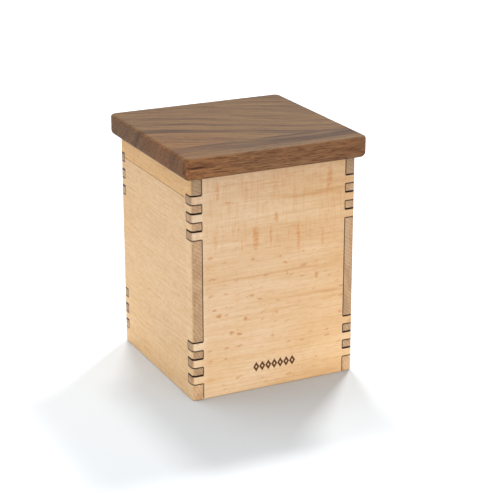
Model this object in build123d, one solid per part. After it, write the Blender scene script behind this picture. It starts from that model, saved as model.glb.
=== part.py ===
from build123d import *
import os

# A square puzzle box with a loose lid, in millimetres.
# Origin: centre of the base. +Z is up and the front of the box faces -Y.
# Four finger-jointed walls stand on their edges around a grooved-in bottom. A block under the lid fits
# between four rails, and a pin in each rail slides down a sloping bore into the block to lock the lid.
# The pieces are stored closed and unlocked, with every pin drawn back inside its rail.

# Walls
BODY_WIDTH = 125.0
BODY_HEIGHT = 160.0
WALL = 8.0
CORNER_RADIUS = 2.75
BASE_EDGE_RADIUS = 1.0
LEFT_STAVE_WIDTH = 15.0
STAVE_LINE_WIDTH = 0.3
STAVE_LINE_DEPTH = 0.3

# Finger joints: each end of a corner has three fingers of the front or back wall
END_BLOCK = 12.0
FACE_FINGER = 6.35
SIDE_FINGER = 6.1
FINGERS_PER_END = 3
FINGER_GAP = 0.8
SEAM_WIDTH = 0.4
SEAM_DEPTH = 0.5

# Ornament burned into the front near its foot: a row of lozenge outlines
ORNAMENT_LEVEL = 17.0
LOZENGE_COUNT = 7
LOZENGE_PITCH = 4.7
LOZENGE_WIDTH = 4.3
LOZENGE_HEIGHT = 6.8
LOZENGE_BORE = 0.42
ORNAMENT_DEPTH = 0.3

# Bottom, held in a groove of all four walls
BOTTOM_LEVEL = 6.0
BOTTOM_GROOVE_HEIGHT = 5.0
BOTTOM_GROOVE_DEPTH = 4.0
BOTTOM_PLAY = 0.2

# Lid, glued up from a wide rear board and a narrow front board
LID_OVERHANG = 6.0
LID_THICKNESS = 15.5
LID_CORNER_RADIUS = 5.0
LID_TOP_RADIUS = 2.4
LID_UNDER_RADIUS = 4.0
LID_FRONT_BOARD = 27.4

# Lock rails, glued inside the walls just below the rim
RAIL_THICKNESS = 14.0
RAIL_HEIGHT = 21.0
RAIL_SETBACK = 1.0

# Lock pins, stepped, each in a sloping stepped bore
PIN_SLOPE = 6.0
PIN_DEPTH = 10.0
PIN_TRAVEL = 6.0
PIN_RADIUS = 2.0
PIN_SETBACK = 0.5
PIN_LENGTH = 13.0
COLLAR_RADIUS = 3.5
COLLAR_LENGTH = 3.0
STOP_PLAY = 0.2
BORE_CLEARANCE = 0.06
PIN_CHAMFER = 0.4

# Lock block under the lid
BLOCK_THICKNESS = 18.0
BLOCK_PLAY = 0.5
BLOCK_CHAMFER = 1.5
SOCKET_RADIUS = 2.5
SOCKET_PLAY = 1.5

# Countersunk screws that hold the block
SCREW_SPACING = 60.0
SCREW_LENGTH = 26.0
SCREW_RADIUS = 1.9
SCREW_HEAD_RADIUS = 3.6
SCREW_HEAD_HEIGHT = 1.9
SCREW_TIP = 4.0
SCREW_PLAY = 0.05
RECESS_WIDTH = 0.8
RECESS_LENGTH = 4.0
RECESS_DEPTH = 1.4

# Sizes that follow from those above
HALF_WIDTH = BODY_WIDTH / 2
INNER_WIDTH = BODY_WIDTH - 2 * WALL
HALF_INNER = INNER_WIDTH / 2
FINGER_PITCH = FACE_FINGER + SIDE_FINGER
NECK_WIDTH = INNER_WIDTH - 2 * RAIL_THICKNESS
BLOCK_WIDTH = NECK_WIDTH - 2 * BLOCK_PLAY
LID_WIDTH = BODY_WIDTH + 2 * LID_OVERHANG

# Turn of each rail and pin about the box's axis, from the front one
SIDES = {"front": 0, "right": 90, "back": 180, "left": 270}


def slab(width, depth, low, high, x=0.0, y=0.0):
    """A box centred on (x, y) that fills the heights from low to high."""
    return Pos(x, y, (low + high) / 2) * Box(width, depth, high - low)


def square_prism(width, radius, low, high):
    """An upright square prism about the box's axis, with rounded corners."""
    return Pos(0, 0, low) * extrude(RectangleRounded(width, width, radius), high - low)


def finger_spans():
    """The heights taken by the fingers of the front and back walls, from the base up."""
    spans = []
    for i in range(FINGERS_PER_END):
        low = END_BLOCK + i * FINGER_PITCH
        high = low + FACE_FINGER
        spans.append((low, high))
        spans.append((BODY_HEIGHT - high, BODY_HEIGHT - low))
    return sorted(spans)


def spans_between(spans):
    """The heights left between the given ones, from the base to the rim."""
    edges = [0.0] + [edge for span in spans for edge in span] + [BODY_HEIGHT]
    return list(zip(edges[0::2], edges[1::2]))


def body_envelope():
    """The outer shape that all four walls share, so that its rounded corners run across the fingers."""
    envelope = square_prism(BODY_WIDTH, CORNER_RADIUS, 0, BODY_HEIGHT)
    return fillet(envelope.faces().sort_by(Axis.Z)[0].edges(), BASE_EDGE_RADIUS)


def seam_grooves():
    """Shallow grooves along the glue lines of the corner joints, open to the outside."""
    grooves = []
    corner = HALF_WIDTH - WALL / 2
    half = SEAM_WIDTH / 2
    fingers = finger_spans()
    for sx in (-1, 1):
        for sy in (-1, 1):
            for low, high in fingers:
                grooves.append(slab(WALL, WALL, low - half, low + half, sx * corner, sy * corner))
                grooves.append(slab(WALL, SEAM_WIDTH, low, high, sx * corner, sy * HALF_INNER))
            for low, high in spans_between(fingers):
                grooves.append(slab(SEAM_WIDTH, WALL, low, high, sx * HALF_INNER, sy * corner))
    core = square_prism(BODY_WIDTH - 2 * SEAM_DEPTH, CORNER_RADIUS - SEAM_DEPTH, 0, BODY_HEIGHT)
    return Part() + grooves - core


def lozenge(scale):
    """An upright lozenge in the plane of the front."""
    half_width = scale * LOZENGE_WIDTH / 2
    half_height = scale * LOZENGE_HEIGHT / 2
    return Polygon((0, half_height), (-half_width, 0), (0, -half_height), (half_width, 0))


def ornament():
    """The row of lozenge outlines, as the material that is burned away."""
    outline = Plane.XZ * (lozenge(1.0) - lozenge(LOZENGE_BORE))
    ring = extrude(outline, ORNAMENT_DEPTH, both=True)
    row = Pos(0, -HALF_WIDTH, ORNAMENT_LEVEL) * GridLocations(LOZENGE_PITCH, 1, LOZENGE_COUNT, 1)
    return Part() + [place * ring for place in row]


def finish_wall(wall, envelope, grooves):
    """Rounds a wall's outer edges, and cuts its seam grooves and the groove for the bottom."""
    groove_width = INNER_WIDTH + 2 * BOTTOM_GROOVE_DEPTH
    bottom_groove = slab(groove_width, groove_width, BOTTOM_LEVEL, BOTTOM_LEVEL + BOTTOM_GROOVE_HEIGHT)
    return (wall & envelope) - grooves - bottom_groove


def face_wall(side):
    """The front (side -1) or back (side 1) wall, whose fingers reach through the side walls."""
    y = side * (HALF_WIDTH - WALL / 2)
    wall = slab(INNER_WIDTH, WALL, 0, BODY_HEIGHT, y=y)
    for low, high in finger_spans():
        wall += slab(BODY_WIDTH, WALL, low, high - FINGER_GAP / 2, y=y)
    return wall


def side_wall(side):
    """The left (side -1) or right (side 1) wall, which runs the full depth of the box between fingers."""
    x = side * (HALF_WIDTH - WALL / 2)
    wall = slab(WALL, BODY_WIDTH, 0, BODY_HEIGHT, x=x)
    for low, high in finger_spans():
        for y in (-1, 1):
            wall -= slab(WALL, WALL, low, high + FINGER_GAP / 2, x, y * (HALF_WIDTH - WALL / 2))
    return wall


def left_wall(envelope, grooves):
    """The left wall, with the fine open line along the glue joint between its two staves."""
    middle = BODY_HEIGHT - LEFT_STAVE_WIDTH
    half = STAVE_LINE_WIDTH / 2
    line = slab(2 * STAVE_LINE_DEPTH, INNER_WIDTH, middle - half, middle + half, x=-HALF_WIDTH)
    return finish_wall(side_wall(-1), envelope, grooves) - line


def bottom():
    """The loose bottom, which stands in the walls' groove with a little room to swell."""
    width = INNER_WIDTH + 2 * BOTTOM_GROOVE_DEPTH - 2 * BOTTOM_PLAY
    return slab(width, width, BOTTOM_LEVEL, BOTTOM_LEVEL + BOTTOM_GROOVE_HEIGHT - BOTTOM_PLAY)


def pin_frame(side):
    """A plane across a pin's bore where it opens at the rail's inner face, facing the block."""
    mouth = Plane(
        origin=(0, -NECK_WIDTH / 2, BODY_HEIGHT - PIN_DEPTH),
        x_dir=(1, 0, 0),
        z_dir=Vector(0, 1, 0).rotate(Axis.X, -PIN_SLOPE),
    )
    return Rot(0, 0, SIDES[side]) * mouth.location


def rod(frame, radius, start, end):
    """A round rod along a pin's axis, between two distances from the mouth of its bore."""
    return frame * Pos(0, 0, (start + end) / 2) * Cylinder(radius, end - start)


def lock_rail(side):
    """A rail with its pin's bore, wide behind and narrow at the mouth so that the pin can't drop out."""
    length = INNER_WIDTH if side in ("front", "back") else NECK_WIDTH
    top = BODY_HEIGHT - RAIL_SETBACK
    y = -HALF_INNER + RAIL_THICKNESS / 2
    rail = Rot(0, 0, SIDES[side]) * slab(length, RAIL_THICKNESS, top - RAIL_HEIGHT, top, y=y)
    frame = pin_frame(side)
    shoulder = -(PIN_SETBACK + PIN_LENGTH - COLLAR_LENGTH - PIN_TRAVEL - STOP_PLAY)
    rail -= rod(frame, PIN_RADIUS + BORE_CLEARANCE, shoulder - 1, RAIL_THICKNESS)
    rail -= rod(frame, COLLAR_RADIUS + BORE_CLEARANCE, -2 * RAIL_THICKNESS, shoulder)
    return rail


def lock_pin(side):
    """A stepped pin, drawn back so that its nose is just inside the rail's face."""
    tail = -(PIN_SETBACK + PIN_LENGTH)
    step = tail + COLLAR_LENGTH
    frame = pin_frame(side)
    pin = rod(frame, COLLAR_RADIUS, tail, step) + rod(frame, PIN_RADIUS, step, -PIN_SETBACK)
    rims = pin.edges().filter_by(GeomType.CIRCLE)
    nose = rims.filter_by(lambda e: abs(e.radius - PIN_RADIUS) < 0.01).sort_by(Axis.Z)[0]
    collar = rims.filter_by(lambda e: abs(e.radius - COLLAR_RADIUS) < 0.01)
    return chamfer([nose] + list(collar), PIN_CHAMFER)


def screw_places():
    """The screws' axes, in the corners of the lock block."""
    return GridLocations(SCREW_SPACING, SCREW_SPACING, 2, 2).locations


def screw_shape(play):
    """One countersunk screw from the block's underside up, or its hole when given some play."""
    under = BODY_HEIGHT - BLOCK_THICKNESS
    body = SCREW_LENGTH - SCREW_HEAD_HEIGHT - SCREW_TIP
    head = Cone(SCREW_HEAD_RADIUS + play, SCREW_RADIUS + play, SCREW_HEAD_HEIGHT)
    tip = Cone(SCREW_RADIUS + play, SCREW_RADIUS / 4 + play, SCREW_TIP)
    screw = Pos(0, 0, under + SCREW_HEAD_HEIGHT / 2) * head
    screw += Pos(0, 0, under + SCREW_HEAD_HEIGHT + body / 2) * Cylinder(SCREW_RADIUS + play, body)
    screw += Pos(0, 0, under + SCREW_HEAD_HEIGHT + body + SCREW_TIP / 2) * tip
    return screw


def screws():
    """All the block's screws, as separate solids with a cross recess in each head."""
    under = BODY_HEIGHT - BLOCK_THICKNESS
    screw = screw_shape(0.0)
    for length, depth in ((RECESS_LENGTH, RECESS_WIDTH), (RECESS_WIDTH, RECESS_LENGTH)):
        screw -= slab(length, depth, under, under + RECESS_DEPTH)
    return Compound([place * screw for place in screw_places()])


def lock_block():
    """The block under the lid, with a sloping socket for each pin and countersunk screw holes."""
    low = BODY_HEIGHT - BLOCK_THICKNESS
    block = slab(BLOCK_WIDTH, BLOCK_WIDTH, low, BODY_HEIGHT)
    block = chamfer(block.faces().sort_by(Axis.Z)[0].edges(), BLOCK_CHAMFER)
    for side in SIDES:
        reach = PIN_TRAVEL - PIN_SETBACK + SOCKET_PLAY
        block -= rod(pin_frame(side), SOCKET_RADIUS, -RAIL_THICKNESS, reach)
    for place in screw_places():
        block -= place * screw_shape(SCREW_PLAY)
    return block


def lid():
    """The whole lid, before it is parted into its two boards."""
    top = BODY_HEIGHT + LID_THICKNESS
    board = square_prism(LID_WIDTH, LID_CORNER_RADIUS, BODY_HEIGHT, top)
    board = fillet(board.faces().sort_by(Axis.Z)[-1].edges(), LID_TOP_RADIUS)
    board = fillet(board.faces().sort_by(Axis.Z)[0].edges(), LID_UNDER_RADIUS)
    for place in screw_places():
        board -= place * screw_shape(SCREW_PLAY)
    return board


def solid_below(part, plane):
    """The piece of a part on the back of a plane."""
    return split(part, bisect_by=plane, keep=Keep.BOTTOM)


def solid_above(part, plane):
    """The piece of a part in front of a plane."""
    return split(part, bisect_by=plane, keep=Keep.TOP)


def make_parts():
    """Every piece of the box, by name."""
    envelope = body_envelope()
    grooves = seam_grooves()
    stave_seam = Plane(origin=(0, 0, BODY_HEIGHT - LEFT_STAVE_WIDTH), z_dir=(0, 0, 1))
    lid_seam = Plane(origin=(0, LID_FRONT_BOARD - LID_WIDTH / 2, 0), z_dir=(0, 1, 0))
    left = left_wall(envelope, grooves)
    whole_lid = lid()
    parts = {
        "front_panel": finish_wall(face_wall(-1), envelope, grooves) - ornament(),
        "back_panel": finish_wall(face_wall(1), envelope, grooves),
        "right_panel": finish_wall(side_wall(1), envelope, grooves),
        "left_panel_lower_stave": solid_below(left, stave_seam),
        "left_panel_upper_stave": solid_above(left, stave_seam),
        "bottom_panel": bottom(),
        "lid_rear_board": solid_above(whole_lid, lid_seam),
        "lid_front_board": solid_below(whole_lid, lid_seam),
        "lid_lock_block": lock_block(),
        "lid_screws": screws(),
    }
    for side in SIDES:
        parts[f"lock_rail_{side}"] = lock_rail(side)
        parts[f"lock_pin_{side}"] = lock_pin(side)
    return parts


os.makedirs("parts", exist_ok=True)
for name, part in make_parts().items():
    export_step(part, f"parts/{name}.step")
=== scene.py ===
"""The looks of a wooden puzzle box: beech walls with scorched finger joints, and a walnut lid."""

import math

import bpy
from mathutils import Euler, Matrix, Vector


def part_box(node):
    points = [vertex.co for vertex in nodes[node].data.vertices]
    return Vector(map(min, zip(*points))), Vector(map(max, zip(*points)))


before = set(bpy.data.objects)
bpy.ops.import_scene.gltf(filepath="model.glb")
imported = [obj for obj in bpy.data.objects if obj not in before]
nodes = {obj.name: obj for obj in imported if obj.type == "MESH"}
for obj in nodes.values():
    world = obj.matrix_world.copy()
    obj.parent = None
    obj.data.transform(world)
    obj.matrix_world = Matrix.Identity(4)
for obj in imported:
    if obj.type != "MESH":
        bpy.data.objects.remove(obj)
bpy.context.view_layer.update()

MM = 0.001
WHITE = (1.0, 1.0, 1.0, 1.0)

# The box's main lines, in millimetres, read from the frame.
WALL_LOW, WALL_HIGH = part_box("front_panel")
BODY_HALF = WALL_HIGH.x / MM
BODY_TOP = WALL_HIGH.z / MM
WALL = (WALL_HIGH.y - WALL_LOW.y) / MM
INNER_HALF = BODY_HALF - WALL
LID_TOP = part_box("lid_rear_board")[1].z / MM
STAVE_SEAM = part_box("left_panel_upper_stave")[0].z / MM


def colour(red, green, blue):
    """A display colour of 0 to 255 as a scene-linear one, with full alpha."""
    linear = []
    for channel in (red, green, blue):
        value = channel / 255
        linear.append(value / 12.92 if value <= 0.04045 else ((value + 0.055) / 1.055) ** 2.4)
    return (*linear, 1.0)


class Pattern:
    """A material drawn by nodes, whose places are in millimetres of the object's own frame."""

    def __init__(self, name):
        self.material = bpy.data.materials.new(name)
        self.material.use_nodes = True
        self.tree = self.material.node_tree
        self.shader = self.tree.nodes["Principled BSDF"]
        coordinates = self.tree.nodes.new("ShaderNodeTexCoord")
        self.normal = coordinates.outputs["Normal"]
        self.place = self.stretch(coordinates.outputs["Object"], 1 / MM, 1 / MM, 1 / MM)

    def node(self, kind, values=(), **settings):
        """A new node with its settings, whose first inputs take the values."""
        made = self.tree.nodes.new(kind)
        for key, value in settings.items():
            setattr(made, key, value)
        for socket, value in zip(made.inputs, values):
            self.feed(socket, value)
        return made

    def feed(self, socket, value):
        """Links a socket to another's output, or sets it to a constant."""
        if isinstance(value, bpy.types.NodeSocket):
            self.tree.links.new(value, socket)
        else:
            socket.default_value = value

    def wear(self, *names):
        """Puts this material on the CAD nodes of those names."""
        for name in names:
            for slot in nodes[name].material_slots:
                slot.link = "OBJECT"
                slot.material = self.material

    # Arithmetic on sockets and numbers.

    def math(self, operation, *values):
        return self.node("ShaderNodeMath", values, operation=operation).outputs[0]

    def plus(self, first, second):
        return self.math("ADD", first, second)

    def minus(self, first, second):
        return self.math("SUBTRACT", first, second)

    def times(self, first, second):
        return self.math("MULTIPLY", first, second)

    def over(self, first, second):
        return self.math("DIVIDE", first, second)

    def least(self, first, second):
        return self.math("MINIMUM", first, second)

    def most(self, first, second):
        return self.math("MAXIMUM", first, second)

    def absolute(self, value):
        return self.math("ABSOLUTE", value)

    def gap(self, first, second):
        """How far two values lie apart."""
        return self.absolute(self.minus(first, second))

    def repeat(self, value, length):
        """The value counted from 0 again at every length."""
        return self.math("FLOORED_MODULO", value, length)

    def smooth(self, value, start, end, low=0.0, high=1.0):
        """Goes from low to high as the value goes from start to end, with soft ends."""
        made = self.node("ShaderNodeMapRange", (value, start, end, low, high))
        made.interpolation_type = "SMOOTHSTEP"
        return made.outputs[0]

    def linear(self, value, start, end, low, high):
        """Goes evenly from low to high as the value goes from start to end, and on past both."""
        return self.node("ShaderNodeMapRange", (value, start, end, low, high), clamp=False).outputs[0]

    # Places.

    def vector(self, operation, *values):
        made = self.node("ShaderNodeVectorMath", values, operation=operation)
        return made.outputs["Value"] if operation == "LENGTH" else made.outputs["Vector"]

    def distance(self, place):
        """How far a place lies from the origin."""
        return self.vector("LENGTH", place)

    def stretch(self, place, x, y, z):
        return self.vector("MULTIPLY", place, (x, y, z))

    def shift(self, place, x, y, z):
        return self.vector("ADD", place, (x, y, z))

    def split(self, place):
        return self.node("ShaderNodeSeparateXYZ", (place,)).outputs[:]

    def join(self, x, y, z):
        return self.node("ShaderNodeCombineXYZ", (x, y, z)).outputs[0]

    def turn(self, place, degrees):
        """The place, seen from axes turned about Z."""
        made = self.node("ShaderNodeVectorRotate", rotation_type="Z_AXIS")
        self.feed(made.inputs["Vector"], place)
        made.inputs["Angle"].default_value = -math.radians(degrees)
        return made.outputs[0]

    # Textures, colours and relief.

    def noise(self, place, waves=None, detail=2.0, roughness=0.5, distortion=0.0):
        """Soft noise of 0 to 1. The waves say how many there are to a millimetre along each axis."""
        made = self.node("ShaderNodeTexNoise")
        self.feed(made.inputs["Vector"], self.stretch(place, *waves) if waves else place)
        made.inputs["Scale"].default_value = 1.0
        made.inputs["Detail"].default_value = detail
        made.inputs["Roughness"].default_value = roughness
        made.inputs["Distortion"].default_value = distortion
        return made.outputs["Fac"]

    def cells(self, place):
        """Scattered points in two dimensions: the distance to the nearest, and its own random colour."""
        made = self.node("ShaderNodeTexVoronoi", voronoi_dimensions="2D")
        self.feed(made.inputs["Vector"], place)
        made.inputs["Scale"].default_value = 1.0
        return made.outputs["Distance"], made.outputs["Color"]

    def ramp(self, value, stops, interpolation="LINEAR"):
        """A colour for a value of 0 to 1, from (position, colour or grey) stops."""
        made = self.node("ShaderNodeValToRGB", (value,))
        made.color_ramp.interpolation = interpolation
        elements = made.color_ramp.elements
        for _ in stops[2:]:
            elements.new(0.5)
        for element, (position, shade) in zip(elements, stops):
            element.position = position
            element.color = shade if isinstance(shade, tuple) else (shade, shade, shade, 1.0)
        return made.outputs[0]

    def mix(self, factor, first, second, blend="MIX"):
        """Goes from the first colour to the second as the factor goes from 0 to 1."""
        made = self.node("ShaderNodeMix", data_type="RGBA", blend_type=blend, clamp_factor=True)
        self.feed(made.inputs["Factor"], factor)
        self.feed(made.inputs[6], first)
        self.feed(made.inputs[7], second)
        return made.outputs[2]

    def tinted(self, base, factor, tint):
        """The base multiplied by a tint, as far as the factor says."""
        return self.mix(factor, base, tint, "MULTIPLY")

    def relief(self, height, distance):
        """Raises the surface by a height of 0 to 1 times a distance in millimetres."""
        made = self.node("ShaderNodeBump")
        made.inputs["Strength"].default_value = 1.0
        made.inputs["Distance"].default_value = distance * MM
        self.feed(made.inputs["Height"], height)
        self.feed(self.shader.inputs["Normal"], made.outputs[0])


# ---------------------------------------------------------------- burnt edges

CHAR = colour(44, 23, 11)
BURNT = colour(98, 58, 32)

# The ornament near the front's foot: a row of lozenge outlines, in millimetres.
ORNAMENT_LEVEL = 17.0
LOZENGE_COUNT = 7
LOZENGE_PITCH = 4.7
LOZENGE_WIDTH = 4.3
LOZENGE_HEIGHT = 6.8
ORNAMENT_DEPTH = 1.0

# As shares of a lozenge's size: the bore inside its groove, where the burn outside the groove ends and is
# full, and how far inside the bore's outline it ends and is full.
LOZENGE_BORE = 0.42
OUTER_EDGE = (1.16, 1.04)
BORE_EDGE = (0.14, 0.03)

# The joints' layout, in millimetres from either end of a corner.
JOINT_START = 12.0
JOINT_FINGER = 6.35
JOINT_PITCH = 12.45
JOINT_END = JOINT_START + 2 * JOINT_PITCH + JOINT_FINGER
CORNER_ROUND = 2.75

# How far from a finger's top, foot and end its burnt line ends and is full, and how far past a run of fingers
# the lines reach, in millimetres. The top line is wider and darker than the foot line, as painted shade of
# the gap above each finger.
TOP_LINE_AND_SHADE = (0.95, 0.5)
FOOT_LINE = (0.66, 0.38)
END_LINE = (0.6, 0.25)
FOOT_LINE_STRENGTH = 0.8
END_LINE_STRENGTH = 0.65
RUN_MARGIN = 0.4

# How far below the outer surface a cut starts to look burnt and is wholly burnt, and how far past the corner
# block it may lie, in millimetres. Upright cuts are a little less burnt.
CUT_DEPTH = (0.03, 0.18)
CORNER_MARGIN = 0.2
UPRIGHT_CUT_STRENGTH = 0.8

# How far above the foot and below the rim the burn starts and is full, in millimetres.
FOOT_CLEAR = (1.0, 1.2)
RIM_CLEAR = (0.05, 0.2)


def surface_depth(p, x, y):
    """How far a point lies inside the walls' rounded outer shape, in millimetres."""
    flat = BODY_HALF - CORNER_ROUND
    over_x = p.most(p.minus(p.absolute(x), flat), 0.0)
    over_y = p.most(p.minus(p.absolute(y), flat), 0.0)
    return p.minus(CORNER_ROUND, p.distance(p.join(over_x, over_y, 0.0)))


def scorch(p, x, y, z):
    """How burnt the wood is where a laser has cut it, from 0 to 1: at the joints, and in the ornament."""
    nearest = p.least(p.absolute(x), p.absolute(y))
    in_corner = p.math("GREATER_THAN", nearest, INNER_HALF - CORNER_MARGIN)
    deep = p.smooth(surface_depth(p, x, y), *CUT_DEPTH)
    upright = p.smooth(p.absolute(p.split(p.normal)[2]), 0.6, 0.3)
    cut = p.times(p.times(in_corner, deep), p.linear(upright, 0.0, 1.0, 1.0, UPRIGHT_CUT_STRENGTH))
    below_rim = p.smooth(z, BODY_TOP - RIM_CLEAR[0], BODY_TOP - RIM_CLEAR[1])
    clear = p.times(p.smooth(z, *FOOT_CLEAR), below_rim)
    joints = p.times(clear, p.most(cut, joint_lines(p, x, y, z, nearest)))
    return joints, ornament(p, x, y, z)


def joint_lines(p, x, y, z, nearest):
    """Thin burnt lines on the outer surface around every finger, widest and darkest along its top, where the
    extra width is painted shade of the gap above the finger.

    A finger's outer side is the one nearer the rim or the foot, and its inner side faces the wall's middle.
    """
    from_end = p.least(z, p.minus(BODY_TOP, z))
    step = p.repeat(p.minus(from_end, JOINT_START), JOINT_PITCH)
    middle = (JOINT_START + JOINT_END) / 2
    reach = (JOINT_END - JOINT_START) / 2 + RUN_MARGIN
    in_run = p.math("LESS_THAN", p.gap(from_end, middle), reach)

    to_outer = p.least(step, p.minus(JOINT_PITCH, step))
    to_inner = p.gap(step, JOINT_FINGER)
    upper_half = p.math("GREATER_THAN", z, BODY_TOP / 2)
    to_top = p.linear(upper_half, 0.0, 1.0, to_inner, to_outer)
    to_foot = p.linear(upper_half, 0.0, 1.0, to_outer, to_inner)
    foot_line = p.smooth(to_foot, *FOOT_LINE, 0.0, FOOT_LINE_STRENGTH)
    # Painted shade: the top line is wider and darker than the foot line.
    line = p.most(p.smooth(to_top, *TOP_LINE_AND_SHADE), foot_line)
    level = p.times(line, p.times(in_run, p.math("GREATER_THAN", nearest, INNER_HALF)))

    in_finger = p.times(in_run, p.math("LESS_THAN", step, JOINT_FINGER))
    on_front_or_back = p.math("GREATER_THAN", p.absolute(y), p.absolute(x))
    has_end = p.gap(on_front_or_back, in_finger)
    upright = p.times(has_end, p.smooth(p.gap(nearest, INNER_HALF), *END_LINE))
    return p.most(level, p.times(upright, END_LINE_STRENGTH))


def ornament(p, x, y, z):
    """The burnt outline of every lozenge, with a thin margin on the surface to either side of its groove."""
    half_pitch = LOZENGE_PITCH / 2
    along = p.minus(p.repeat(p.plus(x, half_pitch), LOZENGE_PITCH), half_pitch)
    share_x = p.over(p.absolute(along), LOZENGE_WIDTH / 2)
    share_z = p.over(p.gap(z, ORNAMENT_LEVEL), LOZENGE_HEIGHT / 2)
    scale = p.plus(share_x, share_z)
    outside_bore = p.smooth(scale, LOZENGE_BORE - BORE_EDGE[0], LOZENGE_BORE - BORE_EDGE[1])
    ring = p.times(p.smooth(scale, *OUTER_EDGE), outside_bore)
    in_row = p.math("LESS_THAN", p.absolute(x), LOZENGE_COUNT * LOZENGE_PITCH / 2)
    on_front = p.math("LESS_THAN", y, ORNAMENT_DEPTH - BODY_HALF)
    return p.times(ring, p.times(in_row, on_front))


# ---------------------------------------------------------------- beech

BEECH_LIGHT = colour(230, 199, 163)
BEECH_WARM = colour(222, 184, 140)
BEECH_END = colour(184, 149, 112)
BEECH_END_GAIN = (1.17, 1.24, 1.29, 1.0)
FLECK_TINT = (0.92, 0.68, 0.48, 1.0)
SPECK_TINT = (0.80, 0.56, 0.38, 1.0)
GROWTH_TINT = (0.88, 0.76, 0.61, 1.0)
SILK_TINT = (0.93, 0.80, 0.68, 1.0)
FAR_END_TINT = (0.99, 0.93, 0.82, 1.0)
NEAR_END_TINT = (1.06, 1.13, 1.22, 1.0)
SEAM_TINT = (0.45, 0.36, 0.28, 1.0)
END_RING_TINT = (0.74, 0.66, 0.60, 1.0)
END_PORE_TINT = (0.72, 0.64, 0.58, 1.0)
END_BLOTCH_TINT = (0.84, 0.78, 0.76, 1.0)

# Painted light and shade on a wall by height, as a share of the walls': lighter towards the foot as painted
# light, and darker towards the top as painted shade under the lid, partly the wood's own browner colour.
WALL_PAINTED_SHADE = [
    (0.0, (1.10, 1.12, 1.13, 1.0)),
    (0.08, (1.09, 1.11, 1.12, 1.0)),
    (0.25, (0.98, 0.99, 1.01, 1.0)),
    (0.5, (0.89, 0.90, 0.93, 1.0)),
    (0.65, (0.87, 0.88, 0.91, 1.0)),
    (0.81, (0.83, 0.85, 0.88, 1.0)),
    (0.95, (0.75, 0.75, 0.79, 1.0)),
]
# The same painted light and shade for the end grain: the foot's blocks are painted lighter, and the rim's are
# painted darker as shade under the lid, partly their own colour.
END_PAINTED_SHADE = [(0.0, 1.42), (0.075, 1.42), (0.1, 1.0), (0.85, 1.0), (0.93, 0.70), (1.0, 0.64)]

# Year rings: their spacing and how far they sway, in millimetres, and how a ring darkens along its width.
RING_SPACING = 2.3
RING_SWAY = 9.0
RING_STOPS = [(0.0, 0.1), (0.45, 0.12), (0.86, 0.8), (0.94, 1.0), (1.0, 0.1)]

# How far a seed of 1 moves the grain, in millimetres, so that no two boards look the same.
SEED_STEPS = (37.0, 11.0, 53.0)

# A glue line: how far from its height it ends and is full. A height below the box shows none.
SEAM_LINE = (0.6, 0.25)
SEAM_STRENGTH = 0.35
NO_SEAM = -10.0

# The bands' lean and the length of their soft ends, in millimetres.
BAND_LEAN = 5.0
BAND_FADE = 12.0

# How strongly each layer of the grain darkens the wood.
RING_STRENGTH = 0.16
FIBRE_STRENGTH = 0.35
CLOUD_STRENGTH = 0.22
THREAD_STRENGTH = 0.5

# Heights in millimetres between which the upright silk grows, and the small specks grow fewer.
SILK_RISE = (85.0, 125.0)
SPECK_FALL = (95.0, 125.0)

# Along a wall: where it starts to warm and is warm, and how far from its inner corner it turns pale.
FAR_END = (-30.0, 60.0)
NEAR_END = (4.0, -2.0)

# The small specks: how many to a millimetre along and up, how far they stray from their rows, which of them
# show, how much their sizes differ, and where a speck's soft edge ends and is full.
SPECK_ALONG = 0.1
SPECK_UP = 0.25
SPECK_STRAY = 0.7
SPECK_CHOICE = (0.45, 0.85)
SPECK_SIZES = (0.75, 2.3)
SPECK_EDGE = (0.24, 0.08)

# Where a mark's soft edge ends and is full, as a share of its size, and how ragged a spot is, in millimetres.
MARK_EDGE = (1.15, 0.45)
RAGGED_LENGTH = 5.0
RAGGED_HEIGHT = 3.0


def growth(p, thickness, height, sway, pith):
    """Year rings about a pith, as 0 in early wood rising to 1 in the thin late wood."""
    across = p.minus(thickness, pith[0])
    up = p.minus(height, pith[1])
    radius = p.plus(p.distance(p.join(across, up, 0.0)), p.times(sway, RING_SWAY))
    return p.ramp(p.math("FRACT", p.over(radius, RING_SPACING)), RING_STOPS)


def marks(p, x, z, places):
    """Soft upright ellipses, each given as (x, z, half width, half height, strength)."""
    total = 0.0
    flat = p.join(x, 0.0, z)
    for at_x, at_z, half_width, half_height, strength in places:
        local = p.stretch(p.shift(flat, -at_x, 0.0, -at_z), 1 / half_width, 0.0, 1 / half_height)
        total = p.most(total, p.smooth(p.distance(local), *MARK_EDGE, 0.0, strength))
    return total


def grain_bands(p, base, grain, length, z, bands):
    """Darker bands along the grain, each given as (height, half width, start, end, strength)."""
    lean = p.times(p.minus(p.noise(grain, (0.03, 0.03, 0.03)), 0.5), BAND_LEAN)
    level = p.plus(z, lean)
    for at, half, start, end, strength in bands:
        line = p.smooth(p.gap(level, at), half, half * 0.2)
        from_start = p.smooth(length, start - BAND_FADE, start + BAND_FADE)
        to_end = p.smooth(length, end + BAND_FADE, end - BAND_FADE)
        reach = p.times(from_start, to_end)
        base = p.tinted(base, p.times(p.times(line, reach), strength), GROWTH_TINT)
    return base


def small_specks(p, base, length, z, jitter, seed, specks):
    """The small brown specks of cut rays, scattered in rows and of mixed size."""
    stray = p.times(jitter, SPECK_STRAY)
    scatter = p.join(p.plus(p.times(length, SPECK_ALONG), stray), p.plus(p.times(z, SPECK_UP), stray), 0.0)
    distance, lot = p.cells(p.shift(scatter, seed * 3.7, seed * 1.3, 0.0))
    chosen = p.smooth(p.split(lot)[0], *SPECK_CHOICE)
    sized = p.times(distance, p.linear(p.split(lot)[1], 0.0, 1.0, *SPECK_SIZES))
    speck = p.times(p.smooth(sized, *SPECK_EDGE), chosen)
    return p.tinted(base, p.times(speck, p.smooth(z, *SPECK_FALL, specks, 0.5 * specks)), SPECK_TINT)


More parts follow.
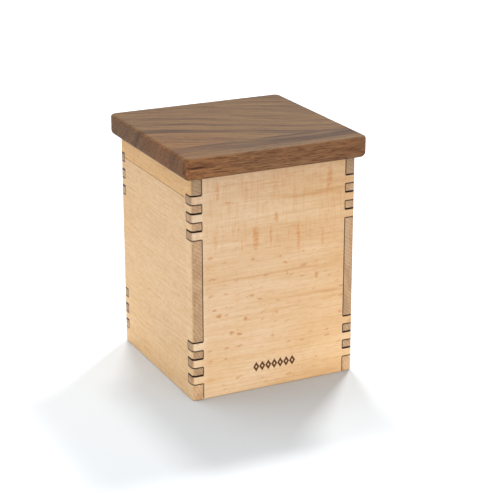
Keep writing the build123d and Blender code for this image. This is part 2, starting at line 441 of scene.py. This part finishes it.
def beech_ends(p, grain, z, rings):
    """The darker, rougher wood where a board's end shows, with painted light and shade by height."""
    pores = p.noise(grain, (0.4, 1.6, 1.1), detail=3.0, roughness=0.75)
    blotch = p.noise(p.shift(p.stretch(grain, 0.1, 0.22, 0.10), 3.0, 7.0, 0.0))
    ends = p.tinted(BEECH_END, p.times(rings, 0.75), END_RING_TINT)
    ends = p.tinted(ends, p.smooth(pores, 0.42, 0.62, 0.0, 0.9), END_PORE_TINT)
    ends = p.tinted(ends, p.smooth(blotch, 0.35, 0.65), END_BLOTCH_TINT)
    ends = p.tinted(ends, 1.0, BEECH_END_GAIN)
    # Painted shade by height: darker at the rim under the lid, lighter at the foot.
    return p.tinted(ends, 1.0, p.ramp(p.over(z, BODY_TOP), END_PAINTED_SHADE))


def beech(name, along, seed, light=BEECH_LIGHT, warm=BEECH_WARM, pith=(35.0, -30.0), seam=NO_SEAM,
          figure=1.0, tone_and_painted_shade=0.4, cloudy=0.32, rays=0.3, specks=0.7, bands=(), flecks=(), spots=()):
    """Beech whose grain runs along X or Y: pale, close-grained, with rays showing as small brown flecks.

    The light and warm colours drift into each other. The pith is the year rings' middle, by thickness and
    height, and the seam is a glue line's height. The figure, tone_and_painted_shade, cloudy, rays and specks
    are the strengths of the fine grain, of the painted light and shade by height together with the tints
    along the wall, of the mottle, of the upright silk and of the small specks.
    """
    p = Pattern(name)
    x, y, z = p.split(p.place)
    length, thickness = (x, y) if along == "X" else (y, x)
    grain = p.shift(p.join(length, thickness, z), *(step * seed for step in SEED_STEPS))

    rings = growth(p, thickness, z, p.noise(grain, (0.012, 0.03, 0.03)), pith)
    fibre = p.noise(grain, (0.06, 1.8, 1.8), detail=3.0, roughness=0.6)
    drift = p.noise(grain, (0.012, 0.06, 0.06), detail=3.0)
    cloud = p.noise(grain, (0.04, 0.10, 0.10), detail=4.0, roughness=0.6)
    threads = p.noise(grain, (0.035, 0.75, 0.75), detail=3.0, roughness=0.65)
    mottle = p.noise(grain, (0.22, 0.5, 0.5), detail=4.0, roughness=0.7)
    base = p.mix(p.smooth(drift, 0.3, 0.7), light, warm)
    base = p.tinted(base, p.times(rings, RING_STRENGTH * figure), GROWTH_TINT)
    base = p.tinted(base, p.smooth(fibre, 0.42, 0.72, 0.0, FIBRE_STRENGTH * figure), GROWTH_TINT)
    base = p.tinted(base, p.smooth(cloud, 0.5, 0.75, 0.0, CLOUD_STRENGTH * figure), GROWTH_TINT)
    base = p.tinted(base, p.smooth(threads, 0.42, 0.68, 0.0, THREAD_STRENGTH * figure), GROWTH_TINT)
    base = p.tinted(base, p.smooth(mottle, 0.44, 0.66, 0.0, cloudy), GROWTH_TINT)

    silk = p.smooth(p.noise(grain, (0.7, 0.2, 0.06), detail=3.0, roughness=0.6), 0.47, 0.66)
    base = p.tinted(base, p.times(silk, p.times(p.smooth(z, *SILK_RISE), rays)), SILK_TINT)
    # Painted light and shade by height: lighter towards the foot, darker under the lid.
    base = p.tinted(base, tone_and_painted_shade, p.ramp(p.over(z, BODY_TOP), WALL_PAINTED_SHADE))
    base = p.tinted(base, p.smooth(length, *FAR_END, 0.0, tone_and_painted_shade), FAR_END_TINT)
    near_end = p.smooth(length, NEAR_END[0] - INNER_HALF, NEAR_END[1] - INNER_HALF, 0.0, tone_and_painted_shade)
    base = p.tinted(base, near_end, NEAR_END_TINT)
    base = p.tinted(base, p.smooth(p.gap(z, seam), *SEAM_LINE, 0.0, SEAM_STRENGTH), SEAM_TINT)
    if bands:
        base = grain_bands(p, base, grain, length, z, bands)

    jitter = p.minus(p.noise(grain, (0.5, 0.5, 0.5)), 0.5)
    base = small_specks(p, base, length, z, jitter, seed, specks)
    if spots:
        ragged_length = p.plus(length, p.times(jitter, RAGGED_LENGTH))
        ragged_height = p.minus(z, p.times(jitter, RAGGED_HEIGHT))
        base = p.tinted(base, marks(p, ragged_length, ragged_height, spots), SPECK_TINT)
    if flecks:
        broken = p.smooth(p.noise(grain, (0.22, 0.2, 0.9), detail=1.0), 0.36, 0.56, 0.25, 1.0)
        nudge = p.times(p.minus(p.noise(grain, (0.12, 0.12, 0.12)), 0.5), 3.0)
        fleck = marks(p, p.plus(length, nudge), z, flecks)
        base = p.tinted(base, p.times(fleck, broken), FLECK_TINT)

    nx, ny, _ = p.split(p.normal)
    at_end = p.smooth(p.absolute(nx if along == "X" else ny), 0.45, 0.9)
    base = p.mix(at_end, base, beech_ends(p, grain, z, rings))
    joints, burnt = scorch(p, x, y, z)
    base = p.mix(burnt, base, BURNT)
    base = p.mix(joints, base, CHAR)

    p.feed(p.shader.inputs["Base Color"], base)
    p.feed(p.shader.inputs["Roughness"], p.linear(fibre, 0.3, 0.7, 0.46, 0.58))
    p.shader.inputs["Specular IOR Level"].default_value = 0.3
    p.relief(p.plus(p.times(fibre, 0.7), p.times(rings, -0.3)), 0.06)
    return p


# The front's own marks, in millimetres on its face. First the upright flecks of its rays, near the rim.
FRONT_FLECKS = [
    (-43.3, 148.5, 1.5, 7.5, 0.85), (-21.6, 149.3, 1.1, 6.0, 0.6), (0.8, 147.8, 1.2, 4.5, 0.6),
    (31.0, 153.0, 1.2, 2.5, 0.5), (41.4, 147.0, 2.3, 8.5, 0.7), (1.1, 125.2, 2.1, 4.2, 1.0),
    (-14.4, 111.5, 2.6, 11.5, 1.0), (-3.1, 113.0, 1.1, 9.0, 0.7), (-45.0, 111.5, 0.9, 10.5, 0.7),
    (-25.0, 110.0, 0.9, 9.5, 0.6), (18.4, 108.0, 1.7, 12.0, 0.9), (37.5, 105.0, 1.5, 8.5, 0.5),
]
# Its brown spots.
FRONT_SPOTS = [
    (-42.2, 59.7, 2.7, 1.7, 0.95), (-46.4, 64.8, 1.8, 1.1, 0.9), (-33.0, 45.8, 2.2, 1.6, 0.95),
    (-27.4, 44.2, 2.3, 1.1, 0.9), (-22.2, 54.6, 1.8, 1.8, 0.9), (-7.0, 84.2, 2.2, 0.9, 0.8),
    (9.4, 83.0, 1.4, 1.8, 0.6), (32.8, 78.2, 1.3, 3.2, 0.7), (-11.7, 67.6, 1.5, 0.9, 0.8),
    (-17.2, 97.4, 1.2, 1.1, 0.8), (7.6, 91.3, 2.2, 0.9, 0.7), (-34.5, 140.0, 3.2, 0.7, 0.8),
    (-38.0, 98.0, 1.8, 0.7, 0.6), (4.0, 96.5, 1.6, 0.8, 0.7), (-45.5, 87.0, 2.0, 0.8, 0.6),
    (-1.5, 39.0, 1.5, 1.1, 0.6),
]
# Its darker bands along the grain.
FRONT_BANDS = [
    (138.2, 2.2, 0, 50, 0.55), (84.8, 1.6, -60, 50, 0.5), (64.8, 1.4, 8, 52, 0.75),
    (57.5, 1.2, -60, 25, 0.4), (127.0, 1.4, -20, 45, 0.4),
]

# What the left wall's two staves share.
LEFT_STAVE = {"pith": (-190.0, -60.0), "seam": STAVE_SEAM, "specks": 0.2}

beech("beech_front", "X", 1.0, tone_and_painted_shade=1.0, rays=0.6,
      bands=FRONT_BANDS, flecks=FRONT_FLECKS, spots=FRONT_SPOTS).wear("front_panel")
# The back wall is painted darker than the front, as shade against the strong lamps behind the box.
beech("beech_back_painted_darker", "X", 2.0, light=colour(218, 184, 144), warm=colour(210, 170, 124)).wear("back_panel")
beech("beech_left", "Y", 3.0, light=colour(227, 193, 149), warm=colour(222, 187, 143),
      figure=1.15, tone_and_painted_shade=0.45, cloudy=0.55, **LEFT_STAVE).wear("left_panel_lower_stave")
beech("beech_left_top", "Y", 4.0, light=colour(226, 186, 132), warm=colour(220, 178, 122),
      figure=1.2, tone_and_painted_shade=0.2, cloudy=0.6, **LEFT_STAVE).wear("left_panel_upper_stave")
beech("beech_right", "Y", 5.0, light=colour(222, 188, 149), warm=colour(214, 174, 129),
      pith=(-60.0, -60.0), specks=0.4).wear("right_panel")
beech("beech_bottom", "X", 6.0).wear("bottom_panel")
beech("beech_rail_x", "X", 7.0).wear("lock_rail_front", "lock_rail_back", "lid_lock_block")
beech("beech_rail_y", "Y", 8.0).wear("lock_rail_left", "lock_rail_right")


# ---------------------------------------------------------------- walnut

WALNUT_LIGHT = colour(101, 76, 49)
WALNUT_DARK = colour(64, 45, 34)
WARM_TINT = (1.18, 1.02, 0.86, 1.0)
# The lid's long edges and board ends are painted lighter than its top, making up for the stronger lamp light
# on the top.
LONG_EDGE_PAINTED_LIGHT = (1.88, 1.65, 1.74, 1.0)
BOARD_END_PAINTED_LIGHT = (1.52, 1.44, 1.60, 1.0)
PORE_TINT = (0.42, 0.34, 0.28, 1.0)
CHECK_TINT = (0.25, 0.2, 0.2, 1.0)
WEDGE_TINT = (0.88, 0.85, 0.84, 1.0)

# How far the streaks reach to either side of the middle, and how far they swing, in millimetres.
STREAK_REACH = 90.0
STREAK_SWING = 18.0

# How strongly the wide and fine streaks show. A board's ends are drawn toward one shade by some share.
WIDE_CONTRAST = 1.1
FINE_CONTRAST = 2.1
END_SHADE = 0.35
END_SHARE = 0.35

# The lid is warmer at its front left: half the width of the soft edge along X, and along Y.
GLOW_EDGE_X = 45.0
GLOW_EDGE_Y = 25.0

# The front edge is darker above a line that passes this height at this X and falls to the right. The line is
# soft by this much to either side, in millimetres.
WEDGE_HEIGHT = 172.0
WEDGE_X = -14.0
WEDGE_SLOPE = 0.225
WEDGE_EDGE = 0.6


def walnut(name, grain_turn, seed, streaks, warm_at, checks=()):
    """Walnut whose grain lies turned from X by some degrees, with wide dark and light streaks across it.

    It is warmer to the left of warm_at.
    """
    p = Pattern(name)
    grain = p.turn(p.place, grain_turn)
    length, across, height = p.split(grain)
    x, y, z = p.split(p.place)
    nx, ny, _ = p.split(p.normal)
    side = p.smooth(p.absolute(ny), 0.4, 0.9)
    end = p.smooth(p.absolute(nx), 0.4, 0.9)

    bend = p.noise(p.shift(p.stretch(grain, 0.012, 0.03, 0.05), seed, 0.0, 0.0))
    sunk = p.times(p.minus(height, LID_TOP), 0.9)
    level = p.plus(p.plus(across, sunk), p.times(p.minus(bend, 0.5), STREAK_SWING))
    broad = p.ramp(p.linear(level, -STREAK_REACH, STREAK_REACH, 0.0, 1.0), streaks, "EASE")
    patch = p.noise(p.join(p.times(length, 0.016), p.times(level, 0.03), seed), detail=1.0)
    wide = p.noise(p.join(p.times(length, 0.012), p.times(level, 0.14), seed + 5.0))
    fine = p.noise(p.join(p.times(length, 0.02), p.times(level, 0.5), seed), detail=4.0, roughness=0.65)
    shade = p.times(broad, p.linear(patch, 0.3, 0.7, 0.45, 1.25))
    shade = p.plus(shade, p.times(p.minus(wide, 0.5), WIDE_CONTRAST))
    shade = p.plus(shade, p.times(p.minus(fine, 0.5), FINE_CONTRAST))
    shade = p.plus(shade, p.times(end, p.times(p.minus(END_SHADE, shade), END_SHARE)))
    base = p.mix(shade, WALNUT_LIGHT, WALNUT_DARK)

    to_left = p.smooth(x, warm_at + GLOW_EDGE_X, warm_at - GLOW_EDGE_X)
    to_front = p.smooth(y, GLOW_EDGE_Y, -GLOW_EDGE_Y)
    base = p.tinted(base, p.times(to_left, to_front), WARM_TINT)
    waves = p.noise(p.shift(p.stretch(grain, 0.10, 1.5, 1.5), 0.0, 0.0, seed),
                    detail=3.0, roughness=0.65, distortion=0.5)
    wave_strength = p.linear(side, 0.0, 1.0, 0.3, 0.8)
    base = p.tinted(base, p.times(p.smooth(waves, 0.46, 0.64), wave_strength), PORE_TINT)
    pits = p.noise(p.shift(p.stretch(grain, 0.16, 1.1, 1.1), 0.0, seed, 0.0), detail=3.0, roughness=0.7)
    pores = p.smooth(pits, 0.50, 0.66)
    base = p.tinted(base, p.times(pores, 0.46), PORE_TINT)
    rough = p.noise(p.shift(p.stretch(p.place, 0.3, 0.45, 0.9), seed, 0.0, 0.0), detail=4.0, roughness=0.75)
    base = p.tinted(base, p.times(p.smooth(rough, 0.42, 0.62), p.times(end, 0.55)), PORE_TINT)
    if checks:
        slant = p.plus(p.minus(z, WEDGE_HEIGHT), p.times(p.plus(x, -WEDGE_X), WEDGE_SLOPE))
        base = p.tinted(base, p.times(p.smooth(slant, -WEDGE_EDGE, WEDGE_EDGE), side), WEDGE_TINT)
        base = p.tinted(base, marks(p, x, z, checks), CHECK_TINT)
    # Painted light: the lid's edges are brightened against its top.
    base = p.tinted(base, side, LONG_EDGE_PAINTED_LIGHT)
    base = p.tinted(base, end, BOARD_END_PAINTED_LIGHT)

    p.feed(p.shader.inputs["Base Color"], base)
    p.feed(p.shader.inputs["Roughness"], p.linear(fine, 0.3, 0.7, 0.5, 0.64))
    p.shader.inputs["Specular IOR Level"].default_value = 0.09
    p.relief(p.minus(p.times(fine, 0.4), p.times(pores, 0.6)), 0.08)
    return p


# Stops across the grain of each board, from front to back: 0 is light wood and 1 is dark.
REAR_STREAKS = [
    (0.0, 0.3), (0.30, 0.2), (0.345, 0.05), (0.368, 0.85), (0.392, 0.75), (0.43, 0.05), (0.468, 0.1),
    (0.49, 0.75), (0.52, 0.2), (0.545, 0.1), (0.567, 0.65), (0.60, 0.2), (0.68, 0.35), (1.0, 0.5),
]
FRONT_STREAKS = [
    (0.0, 0.25), (0.10, 0.2), (0.13, 0.1), (0.165, 0.25), (0.20, 0.7), (0.235, 1.0), (0.262, 0.65),
    (0.28, 0.85), (1.0, 0.5),
]
# Two dark checks in the front edge, near its left corner, given as marks are.
FRONT_CHECKS = [(-60.0, 169.0, 8.5, 1.0, 1.0), (-52.0, 168.6, 6.0, 0.6, 0.6)]

walnut("walnut_rear", -24.0, 2.0, REAR_STREAKS, -35.0).wear("lid_rear_board")
walnut("walnut_front", 0.0, 5.0, FRONT_STREAKS, -52.0, FRONT_CHECKS).wear("lid_front_board")


# ---------------------------------------------------------------- metal


def metal(name, tint, roughness):
    """Turned metal with fine tool marks."""
    p = Pattern(name)
    tooling = p.noise(p.place, (2.0, 2.0, 9.0), detail=3.0)
    worn = (*(0.8 * channel for channel in tint[:3]), 1.0)
    p.feed(p.shader.inputs["Base Color"], p.mix(p.smooth(tooling, 0.3, 0.7), tint, worn))
    p.shader.inputs["Metallic"].default_value = 1.0
    p.feed(p.shader.inputs["Roughness"], p.linear(tooling, 0.3, 0.7, roughness - 0.06, roughness + 0.08))
    p.relief(tooling, 0.01)
    return p


brass = metal("turned_brass", colour(214, 170, 92), 0.28)
brass.wear("lock_pin_front", "lock_pin_right", "lock_pin_back", "lock_pin_left")
metal("zinc_steel", colour(190, 190, 186), 0.33).wear("lid_screws")


# ---------------------------------------------------------------- stage

# The floor's half width in metres, and its colours near the box and far from it.
FLOOR_HALF = 6.0
FLOOR_PALE = (0.582, 0.605, 0.621, 1.0)
FLOOR_WHITE = (0.98, 0.98, 0.98, 1.0)

# Where the floor starts to whiten and where it is white, in millimetres from the box.
FLOOR_NEAR = 800.0
FLOOR_FAR = 2200.0

# The point that the lamps face, in metres.
LAMP_AIM = Vector((0.0, 0.0, 0.08))

# The camera's lens in millimetres, its place in metres, and its angles in degrees.
CAMERA_LENS = 113.19
CAMERA_SENSOR = 36.0
CAMERA_PLACE = (-0.4617, -0.9683, 0.4582)
CAMERA_DOWN = 19.344
CAMERA_TURN = -26.048


def floor():
    """A wide pale floor that grows whiter far from the box, so that it meets the surround without an edge."""
    mesh = bpy.data.meshes.new("floor")
    corners = [(-1, -1), (1, -1), (1, 1), (-1, 1)]
    mesh.from_pydata([(x * FLOOR_HALF, y * FLOOR_HALF, 0) for x, y in corners], [], [(0, 1, 2, 3)])
    plane = bpy.data.objects.new("floor", mesh)
    bpy.context.scene.collection.objects.link(plane)
    p = Pattern("pale_floor")
    far = p.smooth(p.distance(p.place), FLOOR_NEAR, FLOOR_FAR)
    p.feed(p.shader.inputs["Base Color"], p.mix(far, FLOOR_PALE, FLOOR_WHITE))
    p.shader.inputs["Roughness"].default_value = 0.9
    p.shader.inputs["Specular IOR Level"].default_value = 0.0
    mesh.materials.append(p.material)


def surround(strength):
    """An even white surround."""
    world = bpy.data.worlds.new("surround")
    bpy.context.scene.world = world
    world.use_nodes = True
    background = world.node_tree.nodes["Background"]
    background.inputs["Color"].default_value = WHITE
    background.inputs["Strength"].default_value = strength


def softbox(name, direction, distance, width, height, power):
    """A lamp of some width and height that stands off from the box in a direction and faces it."""
    lamp = bpy.data.lights.new(name, "AREA")
    lamp.shape = "RECTANGLE"
    lamp.size = width
    lamp.size_y = height
    lamp.energy = power
    holder = bpy.data.objects.new(name, lamp)
    bpy.context.scene.collection.objects.link(holder)
    away = Vector(direction).normalized()
    holder.location = LAMP_AIM + away * distance
    holder.rotation_euler = away.to_track_quat("Z", "Y").to_euler()


def camera():
    """Stands to the front-left and looks down on the box with a long lens."""
    lens = bpy.data.cameras.new("camera")
    lens.lens = CAMERA_LENS
    lens.sensor_width = CAMERA_SENSOR
    lens.clip_end = 50.0
    holder = bpy.data.objects.new("camera", lens)
    bpy.context.scene.collection.objects.link(holder)
    holder.location = CAMERA_PLACE
    holder.rotation_euler = Euler((math.radians(90 - CAMERA_DOWN), 0.0, math.radians(CAMERA_TURN)), "XYZ")
    bpy.context.scene.camera = holder


floor()
surround(0.77)

# Each lamp's direction from the box, its distance and size in metres, and its power in watts.
softbox("key_back", (0.028, 0.100, 0.196), 1.6, 0.24, 0.24, 13.0)
softbox("key_back_right", (0.098, 0.088, 0.186), 1.6, 0.22, 0.22, 19.0)
softbox("soft_top", (-0.25, 0.30, 1.0), 1.7, 1.1, 1.1, 13.5)
softbox("fill_front", (0.15, -1.0, 0.12), 1.8, 1.6, 0.5, 11.0)
softbox("fill_left", (-1.0, -0.1, 0.12), 1.8, 1.6, 0.5, 2.5)
camera()
bpy.context.scene.view_settings.view_transform = "Standard"
